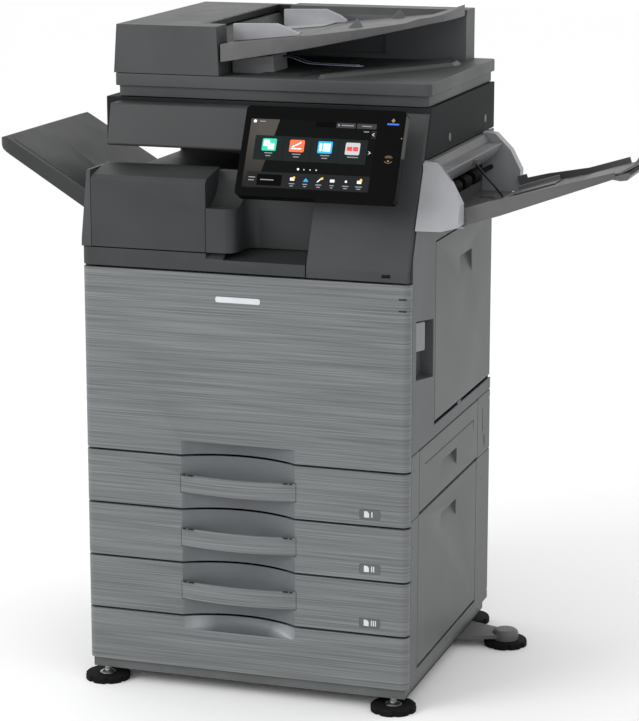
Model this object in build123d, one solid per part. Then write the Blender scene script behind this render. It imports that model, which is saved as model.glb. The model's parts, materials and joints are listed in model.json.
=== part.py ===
from build123d import *
import math
import os

# Office photocopier, millimetres.  Modelling frame: x from the left body side, y from the front face
# towards the back, z from the floor.  At the end everything moves to the bottom centre of the whole box.

# Body
BODY_W = 595
CORNER_R = 14
SKIN = 4
FRONT_DEPTH = 16          # depth of the front panels and the door
SIDE_Y0 = 18              # side skins start here, behind the front panels
SIDE_Y1 = 555

# Heights of the front splits
BASE_Z = 42
PITCH = 97.5
SPLITS = [137.5 + PITCH * i for i in range(4)]      # bottom panel top, then the drawer tops
DOOR_TOP = 758
SEAM = 1.9                # half of the gap between neighbouring panels

# Grip trough that runs down the front
TROUGH_X = 286.4
TROUGH_CHORD = 209
TROUGH_DEPTH = 29
TROUGH_WALL = 3
TROUGH_R = ((TROUGH_CHORD / 2) ** 2 + TROUGH_DEPTH ** 2) / (2 * TROUGH_DEPTH)
TROUGH_Y = TROUGH_DEPTH - TROUGH_R
TROUGH_TOP = 457
TROUGH_BOTTOM = 113.5

# Drawer handle and label recess, measured from the drawer's lower split
HANDLE_Z = (31.5, 64)
HANDLE_HALF = 106
HANDLE_BULGE = 12
HANDLE_T = 5
LABEL_X = (508, 545.5)
LABEL_Z = (12, 30)

# Drawer bins
BIN_X = (24, 552)
BIN_Y = (33, 488)
BIN_Z = (8, 68)
BIN_T = 2.5

# Frame
LEFT_FRAME_X = (6, 9)
RIGHT_FRAME_X = (560, 563)
FRAME_Y = (20, 500)
REAR_FRAME_Y = (500, 503)
FRAME_TOP = 862

# Right side
SIDE_DOOR_Y = (162, 549)
SIDE_DOOR_Z = (485.5, 804)
MID_DOOR_Y = (68, 463.5)
MID_DOOR_Z = (344.5, 454.5)
DESK_DOOR_Y = (64, 457)
DESK_DOOR_Z = (67, 339.5)
DOOR_T = 18

# Fascia slope: y grows by this much for each millimetre of height above the crease
CREASE_Z = 778
SLOPE = 0.448

# Scanner and feeder
SCAN_Z = (955, 1039)
SCAN_Y = (121, 554)
COVER_Y = (117, 562)
COVER_Z = (1040.5, 1059, 1080.5)
ADF_TOP = 1166
ADF_REAR_TOP = 1171
ADF_LOW = 1081.2

# Bypass unit
CHEEK_Y = ((48, 72), (470, 494))
BYPASS_PIVOT = (669, 854)
BYPASS_TILT = 17.5
BYPASS_ROLLER = (612, 893)

# Operation panel
PANEL_SIZE = (281, 160)
PANEL_T = 20
PANEL_CENTRE = (438, -4, 973)
PANEL_TILT = 26.6
PANEL_PIVOT = (48, 975)

# Scoop at the left end of the front recess
SCOOP_AXIS = (10, 928)
SCOOP_R = 59

# Rollers and drums
DRUM = (505, 640)
DRUM_R = 15
DRUM_SHAFT = 4
TONER = (150, 640)
TONER_R = 45
FUSER_Z = 745
FUSER_X = (505, 534)
FUSER_R = 14
FUSER_SHAFT = 5

# Document tray: plan and slope
TRAY_X0 = 214.5
TRAY_TOP0 = 1135.8
TRAY_RISE = 0.105
TRAY_PLAN = [(TRAY_X0, 124), (347, 160), (445, 225), (532, 350), (552, 470), (552, 496), (TRAY_X0, 496)]

# Bypass tray
TRAY_ROOT_Y = (76, 466)
TRAY_TIP_Y = (195, 345)
TRAY_LEN = 240
RIM_T = 4
BARREL_R = 3.8

# Feet
FEET = [(29, 16), (566, 16), (29, 528), (566, 528)]
PAD_CENTRES = FEET + [(667, 416), (-72, 416)]
PAD_R = 40

# Shafts
BEARING_GAP = 0.06


def block(x, y, z):
    """Box from three (low, high) pairs."""
    size = (x[1] - x[0], y[1] - y[0], z[1] - z[0])
    return Pos(x[0], y[0], z[0]) * Box(*size, align=(Align.MIN, Align.MIN, Align.MIN))


def outline(points, radius=0):
    line = FilletPolyline(*points, radius=radius, close=True) if radius else Polyline(*points, close=True)
    return make_face(line)


def prism_z(points, z, radius=0):
    """Plan outline raised from z[0] to z[1]."""
    return extrude(Pos(0, 0, z[0]) * outline(points, radius), amount=z[1] - z[0])


def prism_y(points, y, radius=0):
    """Outline in x and z, run from y[0] to y[1]."""
    return extrude(Plane.XZ.offset(-y[1]) * outline(points, radius), amount=y[1] - y[0])


def prism_x(points, x, radius=0):
    """Outline in y and z, run from x[0] to x[1]."""
    return extrude(Plane.YZ.offset(x[0]) * outline(points, radius), amount=x[1] - x[0])


def rod_z(x, y, radius, z):
    return Pos(x, y, z[0]) * Cylinder(radius, z[1] - z[0], align=(Align.CENTER, Align.CENTER, Align.MIN))


def rod_y(x, z, radius, y):
    return extrude(Plane.XZ.offset(-y[1]) * Pos(x, z) * Circle(radius), amount=y[1] - y[0])


def rod_x(y, z, radius, x):
    return extrude(Plane.YZ.offset(x[0]) * Pos(y, z) * Circle(radius), amount=x[1] - x[0])


def front_plate(z, depth=FRONT_DEPTH, x=(0, BODY_W)):
    """Front panel with both front corners rounded."""
    plan = Pos(x[0], 0) * Rectangle(x[1] - x[0], depth, align=(Align.MIN, Align.MIN))
    plan = fillet(plan.vertices().group_by(Axis.Y)[0], CORNER_R)
    return extrude(Pos(0, 0, z[0]) * plan, amount=z[1] - z[0])


def trough_wall(z):
    """Curved wall that stands out behind a front panel, round the grip trough."""
    behind = block((TROUGH_X - TROUGH_CHORD, TROUGH_X + TROUGH_CHORD), (FRONT_DEPTH, 60), z)
    return rod_z(TROUGH_X, TROUGH_Y, TROUGH_R + TROUGH_WALL, z) & behind


def drawer_front(low, high):
    z = (low + SEAM, high - SEAM)
    body = front_plate(z) + trough_wall(z)
    body -= rod_z(TROUGH_X, TROUGH_Y, TROUGH_R, z)
    seat = (TROUGH_X - HANDLE_HALF - 0.8, TROUGH_X + HANDLE_HALF + 0.8)
    body -= block(seat, (-1, HANDLE_T + 0.2), (low + HANDLE_Z[0] - 0.8, low + HANDLE_Z[1] + 0.8))
    label = block(LABEL_X, (-1, 1.2), (low + LABEL_Z[0], low + LABEL_Z[1]))
    return body - fillet(label.edges().filter_by(Axis.Y), 3)


def drawer_handle(low):
    """Bowed bar that bridges the trough."""
    left, right = TROUGH_X - HANDLE_HALF, TROUGH_X + HANDLE_HALF
    front = ThreePointArc((left, 0), (TROUGH_X, -HANDLE_BULGE), (right, 0))
    back = ThreePointArc((right, HANDLE_T), (TROUGH_X, HANDLE_T - HANDLE_BULGE), (left, HANDLE_T))
    ends = [Line(front @ 1, back @ 0), Line(back @ 1, front @ 0)]
    plan = make_face([front, ends[0], back, ends[1]])
    bar = extrude(Pos(0, 0, low + HANDLE_Z[0]) * plan, amount=HANDLE_Z[1] - HANDLE_Z[0])
    long_edges = bar.edges().filter_by(GeomType.CIRCLE)
    return fillet(long_edges, 1.6)


def drawer_bin(low):
    z = (low + BIN_Z[0], low + BIN_Z[1])
    inner_x = (BIN_X[0] + BIN_T, BIN_X[1] - BIN_T)
    inner_y = (BIN_Y[0] + BIN_T, BIN_Y[1] - BIN_T)
    body = block(BIN_X, BIN_Y, z) - block(inner_x, inner_y, (z[0] + BIN_T, z[1] + 1))
    for x in ((60, 90), (486, 516)):
        body += block(x, (FRONT_DEPTH, BIN_Y[0]), (z[0] + 6, z[1] - 14))
    return body


def lift_plate(low):
    """Plate that raises the paper, pivoted along its left edge."""
    z = low + BIN_Z[0] + BIN_T + 2
    plate = block((34, 540), (60, 464), (z, z + 1.6))
    for y in ((140, 190), (334, 384)):
        plate -= block((300, 541), y, (z - 1, z + 3))       # clearance for the paper guides
    return plate + rod_y(36, z + 0.8, 2, (64, 460))


def front_door():
    z = (SPLITS[3] + SEAM, DOOR_TOP - SEAM)
    body = front_plate(z)
    for x in ((20, 290), (305, 575)):
        body -= block(x, (3.5, FRONT_DEPTH + 1), (TROUGH_TOP + 12, z[1] - 12))
    top = TROUGH_TOP + TROUGH_WALL
    body += trough_wall((z[0], top))
    body -= rod_z(TROUGH_X, TROUGH_Y, TROUGH_R, (z[0], TROUGH_TOP))
    for low in (708, 729):
        body -= block((BODY_W - 2, BODY_W + 1), (15, 17), (low, low + 3))
    return body


def bottom_panel():
    """Panel under the drawers; the trough flattens out to the front face in a scoop."""
    z = (BASE_Z, SPLITS[0] - SEAM)
    body = front_plate(z) + trough_wall((TROUGH_BOTTOM - 6, z[1]))
    sections = []
    for share in (1, 0.93, 0.78, 0.55, 0.3, 0.12):
        height = TROUGH_BOTTOM + (SPLITS[0] - TROUGH_BOTTOM) * (1 - math.sqrt(1 - share ** 2))
        sections.append(Pos(0, 0, height) * trough_section(share))
    return body - loft(sections)


def trough_section(share):
    """Plan of the trough where its depth has shrunk to this share."""
    left, right = TROUGH_X - TROUGH_CHORD / 2, TROUGH_X + TROUGH_CHORD / 2
    arc = ThreePointArc((left, 0), (TROUGH_X, TROUGH_DEPTH * share), (right, 0))
    return make_face(arc + Polyline((right, 0), (right, -20), (left, -20), (left, 0)))


def skirt():
    """Dark band over the door; on its right it is lower and floors the recess."""
    low, high = DOOR_TOP + SEAM, 791
    body = front_plate((low, 781), x=(0, 410 + CORNER_R)) & block((0, 410), (0, FRONT_DEPTH), (low, 781))
    upper = front_plate((781, high), x=(0, 231 + CORNER_R)) & block((0, 231), (0, FRONT_DEPTH), (781, high))
    chamfer = prism_x([(0, 780), (0, 781), (13, high), (FRONT_DEPTH, high), (FRONT_DEPTH, 780)], (230, 262))
    floor = prism_x([(FRONT_DEPTH - 1, 781), (78, 792.3), (78, 787), (FRONT_DEPTH - 1, 775)], (256, 410))
    return body + upper + chamfer + floor


def left_front_cover():
    """Box over the lower left front, a scooped end block, and the wall that curves round the recess."""
    side = [(0, 793), (78, 793), (78, 930), (70, 930), (7, 918), (0, 911)]
    box = prism_x(side, (20, 231))
    plan = outline([(231, 0), (284, 0), (284, 70), (411, 70), (411, 78), (231, 78)])
    corner = plan.vertices().sort_by(Axis.Y)[:2].sort_by(Axis.X)[-1]
    plan = fillet(corner, 22)
    inner = plan.vertices().sort_by_distance((284, 70, 0))[0]
    wall = extrude(Pos(0, 0, 793) * fillet(inner, 24), amount=134)
    pipe = extrude(Plane.YZ.offset(230.9) * Pos(*SCOOP_AXIS) * Circle(SCOOP_R), amount=66)
    wall -= pipe + block((230.9, 297), (-1, SCOOP_AXIS[0]), (SCOOP_AXIS[1] - SCOOP_R, 940))
    groove = block((230.3, 231.5), (-1, 1.5), (792, 868))
    return box + wall - groove


def exit_tray_floor():
    """Inner output tray, sloping up to the left."""
    return prism_y([(10, 895), (400, 866), (558, 866), (558, 870), (400, 870), (10, 899)], (80, 499))


def fascia():
    """Right-hand front cover: upright foot, then a slope back to the scanner."""
    top_z = 1030
    top_y = (top_z - CREASE_Z) * SLOPE
    side = [(0, DOOR_TOP + SEAM), (0, CREASE_Z), (top_y, top_z), (top_y + 7, top_z), (7, CREASE_Z + 1),
            (7, DOOR_TOP + SEAM)]
    body = prism_x(side, (412, BODY_W))
    corner = body.edges().filter_by(lambda e: e.center().X > BODY_W - 0.1).sort_by(Axis.Y)
    body = fillet([e for e in corner if on_front(e)], 6)
    return body - block((545, 560.5), (-1, 10), (767, 773))


def on_front(edge):
    """True for the upright and sloped front edges of the fascia's right end."""
    c = edge.center()
    upright = abs(c.Y) < 0.1 and c.Z < CREASE_Z
    sloped = abs(c.Y - (c.Z - CREASE_Z) * SLOPE) < 0.5 and c.Z > CREASE_Z + 5 and c.Z < 1029
    return upright or sloped


def base_plinth():
    """Four welded rails under a top sheet."""
    x, y, top = (6, 589), (7, 544), BASE_Z - 0.2
    rails = [block(x, (y[0], 47), (23, 38)), block(x, (504, y[1]), (23, 38)),
             block((x[0], 46), (47, 504), (23, 38)), block((549, x[1]), (47, 504), (23, 38))]
    return Compound([r.solid() for r in rails + [block(x, y, (38, top))]])


def side_frames():
    """Left plate and right frame of four strips, with a ledge under each side of every drawer."""
    back = (90, FRAME_Y[1])
    right = RIGHT_FRAME_X
    solids = [block(LEFT_FRAME_X, FRAME_Y, (BASE_Z, 790)), block(LEFT_FRAME_X, back, (790, FRAME_TOP)),
              block(right, FRAME_Y, (BASE_Z, 500)), block(right, (FRAME_Y[0], 180), (500, 790)),
              block(right, (470, FRAME_Y[1]), (500, 790)), block(right, back, (790, FRAME_TOP))]
    for low in SPLITS[:3]:
        z = (low + 4, low + 7)
        solids += [block((LEFT_FRAME_X[1], 30), (40, 490), z), block((545, right[0]), (40, 490), z)]
    return Compound([s.solid() for s in solids])


def engine_frame():
    """Deck over the top drawer and the upright plate that carries the front bearings."""
    x = (LEFT_FRAME_X[1] + 0.2, RIGHT_FRAME_X[0] - 0.2)
    body = block(x, (60, REAR_FRAME_Y[0] - 0.2), (432, 435)) + block(x, (60, 63), (435, 752))
    body -= rod_y(DRUM[0], DRUM[1], DRUM_SHAFT + BEARING_GAP, (50, 70))
    return body - rod_y(TONER[0], TONER[1], TONER_R + 3, (50, 70))


def frame_rear_plate():
    body = block((LEFT_FRAME_X[0], 563), REAR_FRAME_Y, (BASE_Z, 953))
    return body - rod_y(DRUM[0], DRUM[1], DRUM_SHAFT + BEARING_GAP, (490, 510))


def roller(x, z, radius, shaft, y_roll, y_shaft):
    return rod_y(x, z, radius, y_roll) + rod_y(x, z, shaft, y_shaft)


def fuser_unit():
    """Frame with a bearing plate at each end and a heat cover over the rollers."""
    body = block((480, 552), (90, 96), (722, 768)) + block((480, 552), (454, 460), (722, 768))
    body += block((480, 486), (96, 454), (722, 768)) + block((486, 552), (96, 454), (762, 768))
    for x in FUSER_X:
        body -= rod_y(x, FUSER_Z, FUSER_SHAFT + BEARING_GAP, (80, 470))
    return body


def left_side_panel():
    plate = prism_x([(SIDE_Y0, BASE_Z), (SIDE_Y1, BASE_Z), (SIDE_Y1, 953), (480, 953), (480, 893), (80, 893),
                     (80, 792), (SIDE_Y0, 792)], (0, SKIN))
    strip = prism_y([(0, 792), (18.5, 792), (18.5, 926), (12, 926), (0.5, 806)], (2, 79))
    plate -= block((-1, 1.2), (10, 560), (339, 341))
    return plate + strip


def main_right_panel():
    """Skin round the big side door, with the latch tub in its front strip."""
    plate = prism_x([(SIDE_Y0, 457), (SIDE_Y1, 457), (SIDE_Y1, 479), (160, 479), (160, 806), (SIDE_Y1, 806),
                     (SIDE_Y1, 953), (87, 953), (SIDE_Y0, 799)], (BODY_W - SKIN, BODY_W))
    tub = block((567, BODY_W - SKIN), (37, 152), (558, 690))
    return plate + tub - prism_x([(40, 585), (149, 569), (149, 671), (40, 687)], (570, BODY_W + 1))


def desk_right_panel():
    x = (BODY_W - SKIN, BODY_W)
    desk = block(x, (SIDE_Y0, SIDE_Y1), (BASE_Z, 340)) - block((580, 600), (62.5, 459), (62, 341))
    front = block(x, (SIDE_Y0, 66.5), (341, 455.5))
    rear = block(x, (465, SIDE_Y1), (341, 455.5))
    return desk + front + rear


def rear_cover():
    body = block((SKIN + 0.5, BODY_W - SKIN - 0.5), (551, SIDE_Y1 + 1), (44, 950))
    for i in range(9):
        z = 560 + i * 16
        body -= block((90, 230), (545, 560), (z, z + 7))
        body -= block((370, 510), (545, 560), (z, z + 7))
    body -= block((58, 112), (545, 560), (88, 127))
    return body


def power_inlet():
    body = block((58.5, 111.5), (525, 556), (88.5, 126.5))
    socket = prism_y([(67, 94), (103, 94), (103, 115), (97, 121), (73, 121), (67, 115)], (536, 560))
    body -= socket
    for x in (77, 85, 93):
        body += block((x - 1, x + 1), (536, 549), (104, 110))
    return body


def scanner_base():
    body = block((2, BODY_W), SCAN_Y, SCAN_Z)
    body -= block((40, 545), (150, 510), (963, 1035))
    body -= block((65, 505), (165, 485), (1030, 1045))
    wedge_y = (SCAN_Z[0] - CREASE_Z) * SLOPE + 9
    body += prism_x([(wedge_y, SCAN_Z[0]), (SCAN_Y[0], SCAN_Z[0]), (SCAN_Y[0], 1029)], (412, BODY_W))
    body += block((80, 130), (SCAN_Y[1], 566), (990, 1036)) + block((465, 515), (SCAN_Y[1], 566), (990, 1036))
    return body


def scanner_front_cover():
    side = [(60, 961), (120.5, 961), (120.5, 1033), (80, 1033)]
    body = prism_x(side, (26, 411), 4)
    return body - prism_x([(68, 968), (116, 968), (116, 1027), (85, 1027)], (32, 405))


def panel_mount():
    """Bracket on the scanner front with two ears that carry the touch panel."""
    body = Part()
    for x in ((340, 357), (519, 536)):
        foot = [(90, 956), (60, 960), (48, 962), (48, 988), (90, 996)]
        body += prism_x(foot, x) + rod_x(*PANEL_PIVOT, 13, x)
    bridge = prism_x([(60.5, 936), (78, 936), (96, 960), (76, 960)], (340, 536))
    body = body + bridge
    body -= rod_x(*PANEL_PIVOT, 4 + BEARING_GAP, (300, 560))
    return clear_of_scanner(body)


def clear_of_scanner(body):
    """Trim the bracket where the scanner front cover and the fascia stand."""
    cover = prism_x([(59, 960.5), (125, 960.5), (125, 1034), (79.5, 1034)], (20, 411.5))
    high = 1040
    slope = prism_x([(0, CREASE_Z), ((high - CREASE_Z) * SLOPE, high), (200, high), (200, CREASE_Z)],
                    (411.5, 600))
    return body - cover - slope


def op_panel():
    tilt = Plane(origin=PANEL_CENTRE, x_dir=(1, 0, 0),
                 z_dir=(0, -math.cos(math.radians(PANEL_TILT)), math.sin(math.radians(PANEL_TILT))))
    face = fillet(Rectangle(*PANEL_SIZE).vertices(), 8)
    slab = extrude(tilt * face, amount=-PANEL_T)
    rear = extrude(tilt * Pos(0, -8) * Rectangle(140, 90), amount=-PANEL_T - 12)
    neck = prism_x([(0, 950), (0, 985), (48, 986), (48, 964)], (368, 508))
    barrel = rod_x(*PANEL_PIVOT, 11, (358, 518)) + rod_x(*PANEL_PIVOT, 4, (341, 535))
    front = extrude(tilt * Rectangle(400, 300), amount=60)
    return slab + rear + (neck - front) + barrel


def platen_cover():
    lower = block((24, 589), (COVER_Y[0] + 6, COVER_Y[1] - 6), COVER_Z[:2])
    upper = block((18, BODY_W), COVER_Y, COVER_Z[1:])
    lower = fillet(lower.edges().filter_by(Axis.Z), 8)
    upper = fillet(upper.edges().filter_by(Axis.Z), 12)
    upper = fillet(upper.faces().sort_by(Axis.Z)[-1].edges(), 2)
    return lower + upper


def adf_body():
    """Feed core under the lid, and the wall along the back."""
    base = COVER_Z[2]
    ramp = [(32, base), (212.5, base), (212.5, 1128), (197, 1139), (184, 1155), (160, 1155), (150, 1140)]
    core = prism_y(ramp + [(32, 1140)], (182, 538))
    core += block((212, 214), (502, 538), (base, 1125))
    wall = prism_x([(500, base), (560, base), (560, ADF_REAR_TOP + 2), (508, ADF_REAR_TOP + 2), (500, 1160)],
                   (213.5, 554))
    return core + wall - block((213, 400), (499, 506), (1090, 1125))


def adf_top_cover():
    """Lid over the feed rollers; its top rises a little towards the back."""
    side = [(120, ADF_LOW), (560, ADF_LOW), (560, ADF_REAR_TOP), (120, ADF_TOP)]
    body = prism_x(side, (17, 213))
    body &= prism_y([(17, ADF_LOW - 1), (213, ADF_LOW - 1), (208, 1180), (24, 1180)], (100, 580))
    inside = (ADF_LOW - 1, 1158)
    body -= block((26, 177), (128, 552), inside) + block((170, 204), (128, 180), inside)
    return body - block((176, 220), (172, 545), (ADF_LOW - 1, 1180))


def tray_top(x):
    """Height of the document tray's upper face at x."""
    return TRAY_TOP0 + (x - TRAY_X0) * TRAY_RISE


def document_tray():
    """Sloping tray with a curved front edge; its right end ramps up towards the back."""
    left, right = TRAY_X0, 552
    under = [(right, 1163), (532, 1161), (350, 1127), (left, 1105)]
    side = [(left, tray_top(left)), (498, tray_top(498)), (right, 1184)] + under
    curve = Spline(*TRAY_PLAN[:5], tangents=[(1, 0.15), (0.05, 1)])
    prism = extrude(Pos(0, 0, 1080) * make_face(curve + Polyline(*TRAY_PLAN[4:], TRAY_PLAN[0])), amount=130)
    ceiling = prism_x([(100, 1080), (100, 1172), (340, 1172), (496, 1184), (500, 1184), (500, 1080)], (left, 560))
    return prism & prism_y(side, (100, 500)) & ceiling


def document_guide(wall_y, foot_y, tall):
    """Upright wall with a flat foot that slides across the tray."""
    low = 0.4
    x0, x1 = TRAY_X0 + 4.5, 340
    wall = [(x0, tray_top(x0) + low), (x0, tall), (300, tall + 2), (326, tall - 8), (x1, tray_top(x1) + 4),
            (x1, tray_top(x1) + low)]
    foot = [(x0, tray_top(x0) + low), (x0, tray_top(x0) + low + 2), (320, tray_top(320) + low + 2),
            (320, tray_top(320) + low)]
    return prism_y(wall, wall_y) + prism_y(foot, foot_y)


def side_door(y, z, grip_y, grip_z):
    """Bottom-hinged door in the right side; its grip is shallow at the foot and deep at the top."""
    body = block((BODY_W - DOOR_T, BODY_W), y, z)
    body = fillet(body.edges().filter_by(Axis.Y).group_by(Axis.X)[-1], 1.5)
    mouth, deep = BODY_W + 1, BODY_W - 12
    wedge = prism_y([(mouth, grip_z[0] - 2), (deep, grip_z[1] - 6), (deep, grip_z[1]), (mouth, grip_z[1])], grip_y)
    return body - wedge


def latch_lever():
    body = prism_x([(44, 634), (100, 626), (100, 676), (44, 684)], (582, 593.5))
    return fillet(body.edges().filter_by(Axis.X), 4)


def bypass_housing():
    cheek = [(595.2, 956), (619, 954), (629, 944), (648, 925), (667, 889), (667, 853), (640, 846),
             (595.2, 845)]
    low, high, inner = 845, 956, CHEEK_Y[0][1]
    raked = [((low - CREASE_Z) * SLOPE - 5, low), (inner, low), (inner, 925), (inner + 20, high),
             ((high - CREASE_Z) * SLOPE, high)]
    body = prism_y(cheek, (0, 120)) & prism_x(raked, (595, 670))
    body += prism_y(cheek, CHEEK_Y[1])
    between = (CHEEK_Y[0][1], CHEEK_Y[1][0])
    body += block((595.2, 667), between, (845, 849))
    body += prism_y([(595.2, 953), (601, 952), (610, 942), (613, 928), (608, 926), (595.2, 936)], between)
    return body - rod_y(*BYPASS_ROLLER, 4 + BEARING_GAP, (60, 480))


def bypass_roller():
    body = rod_y(*BYPASS_ROLLER, 4, (66, 476))
    for middle in (205, 271, 337):
        body += rod_y(*BYPASS_ROLLER, 12, (middle - 20, middle + 20))
    return body


def tilted(body):
    """Turn a piece of the bypass tray from level to its standing slope."""
    x, z = BYPASS_PIVOT
    return Pos(x, 0, z) * Rot(0, -BYPASS_TILT, 0) * body


def bypass_tray():
    plan = [(2, TRAY_ROOT_Y[0]), (60, TRAY_ROOT_Y[0] + 4), (TRAY_LEN, TRAY_TIP_Y[0]),
            (TRAY_LEN, TRAY_TIP_Y[1]), (60, TRAY_ROOT_Y[1] - 4), (2, TRAY_ROOT_Y[1])]
    inner = [(0, TRAY_ROOT_Y[0] + RIM_T), (60, TRAY_ROOT_Y[0] + RIM_T + 4), (TRAY_LEN + 2, TRAY_TIP_Y[0] + 6),
             (TRAY_LEN + 2, TRAY_TIP_Y[1] - 6), (60, TRAY_ROOT_Y[1] - RIM_T - 4), (0, TRAY_ROOT_Y[1] - RIM_T)]
    body = prism_z(plan, (-3, 25)) - prism_z(inner, (1, 30))
    body -= prism_y([(40, 26), (260, 6), (260, 40), (40, 40)], (0, 270))
    body -= prism_y([(20, 18), (150, 11), (260, 16), (260, 40), (20, 40)], (270, 600))
    lip = prism_y([(234, -3), (238, 1), (261, 1), (267, -4), (258, -11), (246, -9)], (TRAY_TIP_Y[0], TRAY_TIP_Y[1]))
    barrel = rod_y(0, 0, BARREL_R, (TRAY_ROOT_Y[0], TRAY_ROOT_Y[1]))
    return tilted(body + lip + barrel)


def bypass_extension():
    """Plate that pulls out of the tray, with a rounded end that curls up."""
    side = [(170, 1.5), (250, 1.5), (278, 8), (293, 21), (289, 24), (275, 12), (249, 5), (170, 5)]
    plan = extrude(Pos(231.5, 270) * Rectangle(123, 136), amount=30)
    plan = fillet(plan.edges().filter_by(Axis.Z).group_by(Axis.X)[-1], 26)
    return tilted(prism_y(side, (200, 340)) & plan)


def bypass_guide(wall_y, foot_y):
    return tilted(block((14, 92), wall_y, (1.5, 12)) + block((14, 92), foot_y, (1.5, 4)))


def left_exit_tray():
    """Smooth slanting tray with rounded outer corners."""
    side = [(-10, 843), (-9, 874), (-168, 968), (-180, 965), (-184, 956), (-176, 946)]
    body = prism_y(side, (62, 430))
    plan = extrude(Pos(-90, 246, 840) * Rectangle(188, 368), amount=140)
    body &= fillet(plan.edges().filter_by(Axis.Z).group_by(Axis.X)[0], 24)
    return body + block((-10, 0), (84, 410), (850, 868))


def outrigger(side):
    """Stabiliser arm on one side, with its boss over the pad."""
    x = 667 if side > 0 else -72
    root = (589, 575) if side > 0 else (6, 20)
    plan = [(root[1], 372), (root[0], 372), (x, 398), (x, 434), (root[0], 462), (root[1], 462)]
    arm = prism_z(plan, (15, 22.8))
    boss = rod_z(x, 416, 24, (11.2, 30))
    dome = fillet(boss.edges().sort_by(Axis.Z)[-1], 8)
    return arm + dome


def levelling_feet():
    """Notched hand-wheel pads under the four corners and the two outriggers."""
    body = Part()
    for x, y in PAD_CENTRES:
        pad = rod_z(0, 0, PAD_R, (0, 11))
        pad = chamfer(pad.edges().group_by(Axis.Z)[-1], 2)
        for i in range(8):
            pad -= Rot(0, 0, i * 45 + 20) * Pos(PAD_R + 3, 0, 0) * rod_z(0, 0, 6, (-1, 12))
        body += Pos(x, y, 0) * pad
    return body


def adjuster_stems():
    body = Part()
    for x, y in FEET:
        nut = Pos(x, y, 13) * Cone(15, 8, 4, align=(Align.CENTER, Align.CENTER, Align.CENTER))
        body += nut + rod_z(x, y, 6, (15, 23))
    return body


def main_motor():
    body = rod_y(420, 600, 34, (503.2, 532)) + rod_y(420, 600, 6, (532, 540))
    return body + block((376, 464), (503.2, 506), (556, 644))


def laser_unit():
    body = block((215, 440), (90, 460), (545, 600))
    body -= block((430, 441), (110, 440), (578, 590))
    return body + block((300, 360), (240, 300), (600, 612))


def scan_carriage():
    body = block((70, 120), (156, 504), (985, 1022))
    return body - block((90, 100), (175, 485), (1005, 1023))


def build():
    nodes = {
        "base_plinth": base_plinth(),
        "levelling_feet": levelling_feet(),
        "adjuster_stems": adjuster_stems(),
        "outriggers": outrigger(1) + outrigger(-1),
        "side_frames": side_frames(),
        "frame_rear_plate": frame_rear_plate(),
        "engine_frame": engine_frame(),
        "bottom_front_panel": bottom_panel(),
        "front_door": front_door(),
        "front_skirt": skirt(),
        "left_front_cover": left_front_cover(),
        "exit_tray_floor": exit_tray_floor(),
        "fascia": fascia(),
        "left_side_panel": left_side_panel(),
        "main_right_panel": main_right_panel(),
        "desk_right_panel": desk_right_panel(),
        "rear_cover": rear_cover(),
        "power_inlet": power_inlet(),
        "left_exit_tray": left_exit_tray(),
        "scanner_base": scanner_base(),
        "scanner_front_cover": scanner_front_cover(),
        "platen_glass": block((65, 505), (165, 485), (1035, 1039)),
        "scan_carriage": scan_carriage(),
        "panel_mount": panel_mount(),
        "op_panel": op_panel(),
        "platen_cover": platen_cover(),
        "adf_body": adf_body(),
        "adf_top_cover": adf_top_cover(),
        "document_tray": document_tray(),
        "document_guide_front": document_guide((178, 187), (178, 256), 1167),
        "document_guide_rear": document_guide((452, 461), (383, 461), 1170),
        "side_door": side_door(SIDE_DOOR_Y, SIDE_DOOR_Z, (321, 404), (710, 752)),
        "mid_side_door": side_door(MID_DOOR_Y, MID_DOOR_Z, (212, 314), (370, 400)),
        "desk_side_door": side_door(DESK_DOOR_Y, DESK_DOOR_Z, (210, 312), (275, 304)),
        "side_door_latch": latch_lever(),
        "bypass_housing": bypass_housing(),
        "bypass_roller": bypass_roller(),
        "bypass_tray": bypass_tray(),
        "bypass_extension": bypass_extension(),
        "bypass_guide_front": bypass_guide((130, 134), (130, 180)),
        "bypass_guide_rear": bypass_guide((408, 412), (362, 412)),
        "photo_drum": roller(*DRUM, DRUM_R, DRUM_SHAFT, (95, 455), (58, 502)),
        "toner_cartridge": rod_y(*TONER, TONER_R, (44, 470)),
        "laser_unit": laser_unit(),
        "fuser_unit": fuser_unit(),
        "fuser_roller": roller(FUSER_X[0], FUSER_Z, FUSER_R, FUSER_SHAFT, (99, 451), (87, 463)),
        "pressure_roller": roller(FUSER_X[1], FUSER_Z, FUSER_R, FUSER_SHAFT, (99, 451), (87, 463)),
        "main_motor": main_motor(),
    }
    for number, split in zip((3, 2, 1), range(3)):
        low, high = SPLITS[split], SPLITS[split + 1]
        nodes[f"drawer_{number}_front"] = drawer_front(low, high)
        nodes[f"drawer_{number}_handle"] = drawer_handle(low)
        nodes[f"drawer_{number}_bin"] = drawer_bin(low)
        nodes[f"drawer_{number}_lift_plate"] = lift_plate(low)
    return nodes


nodes = build()
whole = Compound(children=[Compound(list(n.solids())) for n in nodes.values()]).bounding_box()
ORIGIN = ((whole.min.X + whole.max.X) / 2, (whole.min.Y + whole.max.Y) / 2, whole.min.Z)
os.makedirs("parts", exist_ok=True)
for name, solid in nodes.items():
    export_step(Pos(-ORIGIN[0], -ORIGIN[1], -ORIGIN[2]) * solid, f"parts/{name}.step")
print("origin", ORIGIN, "size", whole.size, "nodes", len(nodes))
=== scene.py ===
import json
import math

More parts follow.
